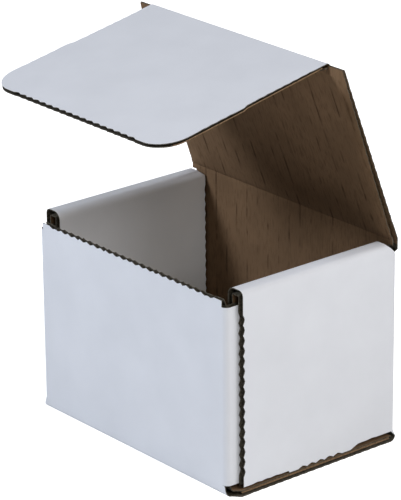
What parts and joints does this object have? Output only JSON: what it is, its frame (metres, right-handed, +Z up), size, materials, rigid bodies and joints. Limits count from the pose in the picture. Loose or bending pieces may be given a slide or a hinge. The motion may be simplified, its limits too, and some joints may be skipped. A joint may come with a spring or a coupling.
{
  "type": "corrugated mailer box",
  "caption": "Small white corrugated mailer box, kraft inside, folded from one sheet, with rolled-over side walls and a hinged lid with a long tuck flap that slides in behind the front wall.",
  "frame": {"origin": "middle of the base's underside, on the surface that the box stands on", "axes": "+X along the front wall to the right, +Y from the front wall to the back wall, +Z up"},
  "size_m": [0.121, 0.11, 0.1607],
  "materials": {
    "white_board": "matte white liner outside, brown fluting at the cut edges",
    "kraft_board": "uncoated brown kraft liner, as on the board's inside"
  },
  "bodies": {
    "tray": {"tray": "white_board"},
    "lid": {"lid": "kraft_board"},
    "flap": {"tuck_flap": "white_board"}
  },
  "joints": [
    {"name": "lid_hinge", "type": "hinge", "parent": "tray", "child": "lid", "pos_m": [0, 0.041, 0.0855], "axis": [-1, 0, 0], "range_deg": [-54, 111]},
    {"name": "flap_hinge", "type": "hinge", "parent": "lid", "child": "flap", "pos_m": [0, 0.01269, 0.15925], "axis": [1, 0, 0], "range_deg": [-80, 5]}
  ]
}
